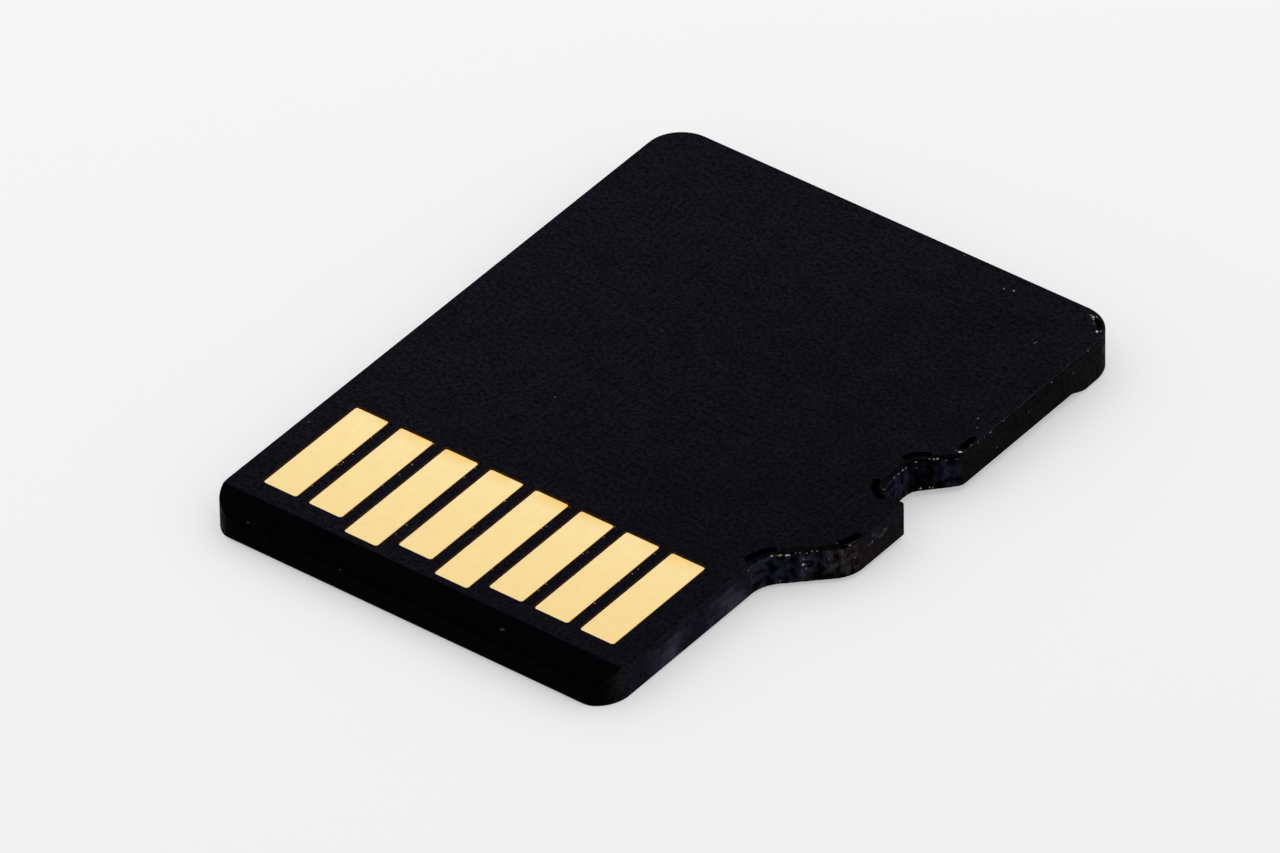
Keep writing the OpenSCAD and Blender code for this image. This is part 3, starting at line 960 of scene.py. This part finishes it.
def make_contact(i, materials):
    """A gold pad; its shade is browning along the right and rear rims, place along it and place in
    the row.
    """
    low, high = box_mm(f"contact_{i}")
    shell = Shell()
    loop = contact_loop(i)
    profile = [(0.0, low[2]), (0.0, high[2] - 0.016), (0.0015, high[2] - 0.009),
               (0.005, high[2] - 0.004), (0.011, high[2] - 0.0015), (0.02, high[2] - 0.0005),
               (0.032, high[2]), (0.034, high[2])]
    rings = []
    for depth, z in profile:
        plan = inset(loop, depth)
        fade = max(0.0, 1 - depth / 0.018)
        across = (plan[:, 0] - low[0]) / (high[0] - low[0])
        forward = (high[1] - plan[:, 1]) / (high[1] - low[1])
        rim_brown = fade * np.where((across > 0.95) | (forward < 0.015), 1.0, 0.1)
        place = np.full(len(plan), i / len(CONTACTS))
        rings.append(shell.ring(plan, z, np.column_stack([rim_brown, forward, place])))
    shell.fill([rings[0]], up=False)
    shell.bridges(rings)
    shell.fill([rings[-1]])
    piece = shell.object(f"gold_contact_{i}", materials)
    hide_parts(f"contact_{i}")


# Materials: their nodes work in millimetres of the object's own space

def shader_input(m, name):
    return m.node_tree.nodes["Principled BSDF"].inputs[name]


def new_material(name, **sockets):
    m = bpy.data.materials.new(name)
    m.use_nodes = True
    for socket, value in sockets.items():
        shader_input(m, socket.replace("_", " ")).default_value = value
    return m


def add_node(m, kind, **settings):
    """A shader node; the settings are its own or its sockets' values."""
    made = m.node_tree.nodes.new("ShaderNode" + kind)
    for key, value in settings.items():
        if hasattr(made, key):
            setattr(made, key, value)
        else:
            made.inputs[key.replace("_", " ")].default_value = value
    return made


def link(m, source, target):
    m.node_tree.links.new(source, target)


def feed(m, node, *sources):
    """Link the sources to the node's first sockets; gives its first output."""
    for source, socket in zip(sources, node.inputs):
        link(m, source, socket)
    return node.outputs[0]


def place_mm(m, stretch=(1, 1, 1)):
    """Object coordinates in millimetres, each axis stretched."""
    coordinates = add_node(m, "TexCoord")
    mapping = add_node(m, "Mapping")
    mapping.inputs["Scale"].default_value = [s / MM for s in stretch]
    return feed(m, mapping, coordinates.outputs["Object"])


def noise_field(m, per_mm, detail=3, stretch=(1, 1, 1)):
    field = add_node(m, "TexNoise", Scale=per_mm, Detail=detail)
    return feed(m, field, place_mm(m, stretch))


def ramp(m, factor, stops):
    """Colours at given positions of a factor."""
    made = add_node(m, "ValToRGB")
    elements = made.color_ramp.elements
    while len(elements) < len(stops):
        elements.new(0.5)
    for element, (position, colour) in zip(elements, stops):
        element.position = position
        element.color = (*colour, 1)
    return feed(m, made, factor)


def mix(m, factor, a, b, blend="MIX"):
    made = add_node(m, "Mix", data_type="RGBA", blend_type=blend)
    for value, socket in ((factor, 0), (a, 6), (b, 7)):
        if isinstance(value, bpy.types.NodeSocket):
            link(m, value, made.inputs[socket])
        elif isinstance(value, (int, float)):
            made.inputs[socket].default_value = value
        else:
            made.inputs[socket].default_value = (*value, 1)
    return made.outputs[2]


def set_colour(m, colour):
    link(m, colour, shader_input(m, "Base Color"))


def set_bump(m, height, distance_mm, strength=1):
    bump = add_node(m, "Bump", Strength=strength, Distance=distance_mm * MM)
    link(m, height, bump.inputs["Height"])
    link(m, bump.outputs["Normal"], shader_input(m, "Normal"))


def set_roughness(m, factor, low, high):
    made = add_node(m, "MapRange", To_Min=low, To_Max=high)
    link(m, feed(m, made, factor), shader_input(m, "Roughness"))


def shade(m, channel):
    """One channel of the shade that each point carries."""
    attribute = add_node(m, "Attribute", attribute_name="shade")
    parts = add_node(m, "SeparateColor")
    link(m, attribute.outputs["Color"], parts.inputs["Color"])
    return parts.outputs[channel]


def gradient(m, fall):
    """A share from 0 to 1 along a direction; fall is twice its rise for each mm."""
    away = add_node(m, "VectorMath", operation="DOT_PRODUCT")
    link(m, place_mm(m), away.inputs[0])
    away.inputs[1].default_value = fall
    spread = add_node(m, "MapRange", From_Min=-1, From_Max=1)
    return feed(m, spread, away.outputs["Value"])


def greys(low, high, start=0.3, end=0.7):
    return [(start, (low, low, low)), (end, (high, high, high))]


def clouds(m, field, *levels):
    """A grey that follows a noise of some scale, detail and stretch."""
    return ramp(m, noise_field(m, *field), greys(*levels))


def multiply(m, a, b):
    return mix(m, 1, a, b, "MULTIPLY")


def even_material(name, field, low, high, roughness, **sockets):
    """A material whose colour and roughness follow one noise."""
    m = new_material(name, **sockets)
    level = noise_field(m, *field)
    set_colour(m, ramp(m, level, [(0.3, low), (0.7, high)]))
    set_roughness(m, level, *roughness)
    return m


def broken_colour(m):
    """Laid-bare laminate along a broken edge, from black to olive."""
    return ramp(m, noise_field(m, 6, 4), [(0.4, (0.0003, 0.0003, 0.0002)),
                                         (0.65, (0.0024, 0.002, 0.0006))])


def mask_material():
    """Satin solder mask: almost black, a little blue, mottled, finely grained; lighter towards the
    left and rear by a painted fall of the light, and with a painted highlight on rounded edges and
    track tops.
    """
    m = new_material("solder_mask", Specular_IOR_Level=0.01)
    # Painted fall of the light mixed into the mottle: darker towards the front right
    level = mix(m, 0.5, noise_field(m, 0.3, 2), gradient(m, (0.125, -0.09, 0)))
    mottle = ramp(m, level, [(0.3, (0.0084, 0.0079, 0.0136)), (0.7, (0.0056, 0.0052, 0.0093))])
    patches = clouds(m, (1.8, 5), 0.7, 1, 0.35, 0.65)
    grain = noise_field(m, 12, 5)
    colour = multiply(m, multiply(m, mottle, patches), ramp(m, grain, greys(0.2, 1, 0.38, 0.62)))
    # Painted highlight on the rounded edges and the tracks' tops, by the shade's red
    pale = ramp(m, noise_field(m, 7, 3), [(0.35, (0.01, 0.0092, 0.0105)),
                                         (0.65, (0.033, 0.031, 0.033))])
    colour = mix(m, shade(m, "Red"), colour, pale)
    colour = mix(m, shade(m, "Blue"), colour, broken_colour(m))
    set_colour(m, colour)
    set_roughness(m, grain, 0.4, 0.6)
    set_bump(m, grain, 0.002, 0.5)
    return m


def torn_colour(m):
    """Punched epoxy: teal to pink along the wall, clouded, with upright streaks and bright patches
    that are painted glints, dimmed by the shade's red, which carries painted light.
    """
    place = mix(m, 0.6, noise_field(m, 5, 5), shade(m, "Blue"))
    tint = ramp(m, place, [
        (0.18, (0.0145, 0.0205, 0.027)), (0.36, (0.02, 0.024, 0.046)),
        (0.5, (0.034, 0.03, 0.056)), (0.64, (0.046, 0.045, 0.05)),
        (0.76, (0.048, 0.037, 0.042)), (0.85, (0.036, 0.024, 0.027))])
    streak = clouds(m, (12, 4, (1, 1, 0.25)), 0.45, 1, 0.38, 0.62)
    cloud = clouds(m, (6, 6), 0.12, 1, 0.4, 0.6)
    # Bright patches: painted glints
    bright = clouds(m, (6, 6, (1, 1, 0.6)), 0, 0.6, 0.66, 0.78)
    torn = multiply(m, multiply(m, tint, streak), cloud)
    torn = mix(m, bright, torn, multiply(m, tint, (2.4, 2.4, 2.4)))
    return multiply(m, torn, ramp(m, shade(m, "Red"), greys(0, 1, 0, 1)))


def painted_sheen_share(m):
    """Painted sheen: where the nose's right wall has pale bluish cloudy patches."""
    place = ramp(m, shade(m, "Red"), greys(0, 1, 0.88, 1))
    cloud = clouds(m, (2.2, 5, (1, 1, 1.2)), 0, 1, 0.4, 0.75)
    return multiply(m, place, cloud)


def moulding_material(name="moulding"):
    """Black filled epoxy, torn where punched; its walls are paler by painted light and shade, with
    a painted bluish sheen and painted sparkle.
    """
    m = new_material(name, Specular_IOR_Level=0.004)
    plain = ramp(m, shade(m, "Red"), [
        (0, (0.0014, 0.0012, 0.0021)), (0.15, (0.0018, 0.0016, 0.0026)),
        (0.5, (0.0068, 0.0066, 0.0072)), (0.65, (0.011, 0.0094, 0.01)),
        (0.78, (0.015, 0.0115, 0.0145)), (0.86, (0.0115, 0.0107, 0.0178)),
        (1, (0.017, 0.016, 0.027))])
    patches = clouds(m, (3.2, 4), 0.6, 1)
    grain = noise_field(m, 13, 5)
    plain = multiply(m, multiply(m, plain, patches), ramp(m, grain, greys(0.4, 1, 0.38, 0.64)))
    # Painted bluish sheen on the nose's right wall
    plain = mix(m, painted_sheen_share(m), plain, (0.05, 0.05, 0.078))
    # Painted sparkle: small pale glints, stronger where the wall is paler
    painted_sparkle = clouds(m, (19, 2), 0, 0.8, 0.7, 0.8)
    painted_sparkle = multiply(m, painted_sparkle, ramp(m, shade(m, "Red"), greys(0, 1, 0.2, 0.5)))
    plain = mix(m, painted_sparkle, plain, (0.05, 0.048, 0.05))
    set_colour(m, mix(m, shade(m, "Green"), plain, torn_colour(m)))
    set_roughness(m, grain, 0.5, 0.75)
    set_bump(m, grain, 0.004, 0.5)
    return m


def mark_material(name="mark", low=(0.0002, 0.0002, 0.0003), high=(0.0007, 0.0006, 0.0008)):
    return even_material(name, (30, 3), low, high, (0.7, 0.9), Specular_IOR_Level=0.002)


def window_material():
    """The lip of the mask round a contact, with a painted warm reflection of the gold beside it.
    """
    return even_material("mask_lip", (20, 3), (0.022, 0.0085, 0.003), (0.04, 0.015, 0.005),
                         (0.5, 0.7), Specular_IOR_Level=0.01)


def crumb_material():
    """Glass fibre, resin and dust: beige, golden, violet or white; on the punched edges their
    brightness is partly a painted glint.
    """
    m = new_material("crumb", Roughness=0.5, Specular_IOR_Level=0.1)
    hue = ramp(m, shade(m, "Red"), [(BEIGE, (0.55, 0.38, 0.34)), (GOLDEN, (0.9, 0.8, 0.5)),
                                    (VIOLET, (0.72, 0.66, 1)), (WHITE, (0.95, 0.95, 0.9))])
    colour = mix(m, shade(m, "Green"), (0.004, 0.004, 0.004), hue)
    grain = noise_field(m, 60, 3)
    colour = multiply(m, colour, ramp(m, grain, greys(0.6, 1)))
    set_colour(m, colour)
    set_bump(m, grain, 0.003, 0.5)
    return m


def gold_material():
    """Gold plating, brushed along the card, brown at its rims; redder in front and darker towards
    the eighth pad, a painted fall of the light.
    """
    m = new_material("contact_gold", Metallic=1)
    forward, place = shade(m, "Green"), shade(m, "Blue")
    # Painted fall of the light: yellower and lighter at the rear, redder in front, darker towards
    # the eighth pad
    clean = ramp(m, forward, [(0, (0.998, 0.79, 0.395)), (0.45, (0.975, 0.755, 0.345)),
                              (1, (0.955, 0.728, 0.33))])
    clean = mix(m, place, clean, multiply(m, clean, (0.985, 0.965, 0.955)))
    streaks = noise_field(m, 6, 5, (2.6, 0.4, 1))
    clean = multiply(m, clean, ramp(m, streaks, greys(0.965, 1, 0.35, 0.6)))
    stains = clouds(m, (2.2, 3), 0, 0.05, 0.55, 0.75)
    clean = mix(m, stains, clean, (0.5, 0.28, 0.1))
    rear = multiply(m, ramp(m, forward, greys(0.8, 0, 0, 0.12)),
                    clouds(m, (1.7, 3), 0.1, 1, 0.38, 0.56))
    clean = mix(m, rear, clean, (0.93, 0.6, 0.17))
    colour = mix(m, shade(m, "Red"), clean, (0.4, 0.17, 0.035))
    set_colour(m, colour)
    set_roughness(m, streaks, 0.22, 0.36)
    set_bump(m, noise_field(m, 16, 4, (3, 0.6, 1)), 0.002, 0.5)
    return m


def dress_inner_nodes():
    """The sealed-in nodes keep their meshes and get their own materials."""
    silicon = even_material("silicon", (1.2, 2), (0.19, 0.2, 0.24), (0.24, 0.25, 0.28),
                            (0.08, 0.16), Metallic=0.3)
    film = even_material("die_film", (3, 3), (0.5, 0.4, 0.24), (0.62, 0.52, 0.36), (0.5, 0.7))
    ceramic = even_material("capacitor", (12, 3), (0.42, 0.29, 0.16), (0.55, 0.42, 0.28),
                            (0.45, 0.65))
    set_bump(ceramic, noise_field(ceramic, 12, 3), 0.003, 0.5)
    wire = even_material("wire_gold", (20, 3, (1, 0.2, 1)), (0.9, 0.66, 0.3), (0.97, 0.75, 0.4),
                         (0.12, 0.25), Metallic=1)
    looks = {"memory_die": silicon, "controller_die": silicon, "memory_film": film,
             "controller_film": film, "capacitor": ceramic, "memory_wires": wire,
             "controller_wire_set": wire}
    for name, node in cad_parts.items():
        for start, material in looks.items():
            if name.startswith(start):
                node.data.materials.clear()
                node.data.materials.append(material)


# Floor, light and camera

# Where the card touches the floor, the floor's half width and its tones, whose greyer front right
# is a painted fall of the light, and how much of the floor is seen as a glow that lightens the
# card's shadow
REST_RIDGE_Y = 6.35
REST_NOSE_Y = -7.42
FLOOR_HALF = 1000
FLOOR_PALE = (0.93, 0.93, 0.93)
FLOOR_GREY = (0.867, 0.867, 0.867)
SHADOW_LIFT = 0.4
FLOOR_FALL = (0.0354, -0.0276, 0)


def floor_material():
    """Plain white sheet, greyer towards the front right by a painted fall of the light; camera,
    glossy and transmission rays partly see it as a glow, which paints light into the card's
    shadow.
    """
    m = new_material("floor", Roughness=1, Specular_IOR_Level=0)
    shades = ramp(m, gradient(m, FLOOR_FALL), [(0, FLOOR_PALE), (1, FLOOR_GREY)])
    set_colour(m, shades)
    glow = add_node(m, "Emission")
    link(m, shades, glow.inputs["Color"])
    rays = add_node(m, "LightPath")
    seen = rays.outputs["Is Camera Ray"]
    for kind in ("Is Glossy Ray", "Is Transmission Ray"):
        seen = feed(m, add_node(m, "Math", operation="MAXIMUM"), seen, rays.outputs[kind])
    share = add_node(m, "Math", operation="MULTIPLY")
    share.inputs[1].default_value = SHADOW_LIFT
    matt = m.node_tree.nodes["Principled BSDF"].outputs["BSDF"]
    both = feed(m, add_node(m, "MixShader"), feed(m, share, seen), matt, glow.outputs["Emission"])
    link(m, both, m.node_tree.nodes["Material Output"].inputs["Surface"])
    return m


def make_floor():
    """The card lies on its ridge and its nose, so the floor is a little tilted."""
    tilt = math.atan2(LABEL_Z, REST_RIDGE_Y - REST_NOSE_Y)
    along = Vector((0, math.cos(tilt), -math.sin(tilt)))
    corners = [Vector((x, REST_RIDGE_Y, 0)) + along * y
               for x, y in square(-FLOOR_HALF, -FLOOR_HALF, FLOOR_HALF, FLOOR_HALF)]
    mesh = bpy.data.meshes.new("floor")
    mesh.from_pydata([c * MM for c in corners], [], [(0, 1, 2, 3)])
    mesh.materials.append(floor_material())
    floor = add_object("floor", mesh)


def make_light():
    world = bpy.data.worlds.new("studio")
    bpy.context.scene.world = world
    world.use_nodes = True
    background = world.node_tree.nodes["Background"]
    background.inputs["Color"].default_value = (1, 1, 1, 1)
    background.inputs["Strength"].default_value = 1


# The photo's camera: place, axes and lens, in millimetres
CAMERA_AT = (160.5402, -206.4161, 203.8079)
CAMERA_RIGHT = (0.79475, 0.60677, -0.01391)
CAMERA_UP = (-0.36369, 0.49445, 0.78946)
CAMERA_BACK = (0.4859, -0.62237, 0.61364)
CAMERA_LENS = 479.89


def make_camera():
    data = bpy.data.cameras.new("camera")
    data.sensor_width = 36
    data.lens = CAMERA_LENS
    data.clip_start = 0.01
    data.clip_end = 10
    camera = add_object("camera", data)
    columns = Matrix((CAMERA_RIGHT, CAMERA_UP, CAMERA_BACK)).transposed()
    camera.matrix_world = Matrix.Translation(Vector(CAMERA_AT) * MM) @ columns.to_4x4()
    bpy.context.scene.camera = camera


def build():
    mask, moulding = mask_material(), moulding_material()
    make_moulding([moulding])
    pit = mark_material("pit", (0.0008, 0.0006, 0.0001), (0.003, 0.0024, 0.0006))
    make_board([mask, moulding_material("board_edge"), mark_material(), window_material(), pit])
    make_tracks([mask])
    gold = gold_material()
    for i in CONTACTS:
        make_contact(i, [gold])
    crumbs = crumb_material()
    make_edge_crumbs([crumbs])
    make_dust([crumbs])
    dress_inner_nodes()
    make_floor()
    make_light()
    make_camera()


build()
bpy.context.scene.view_settings.view_transform = "Standard"
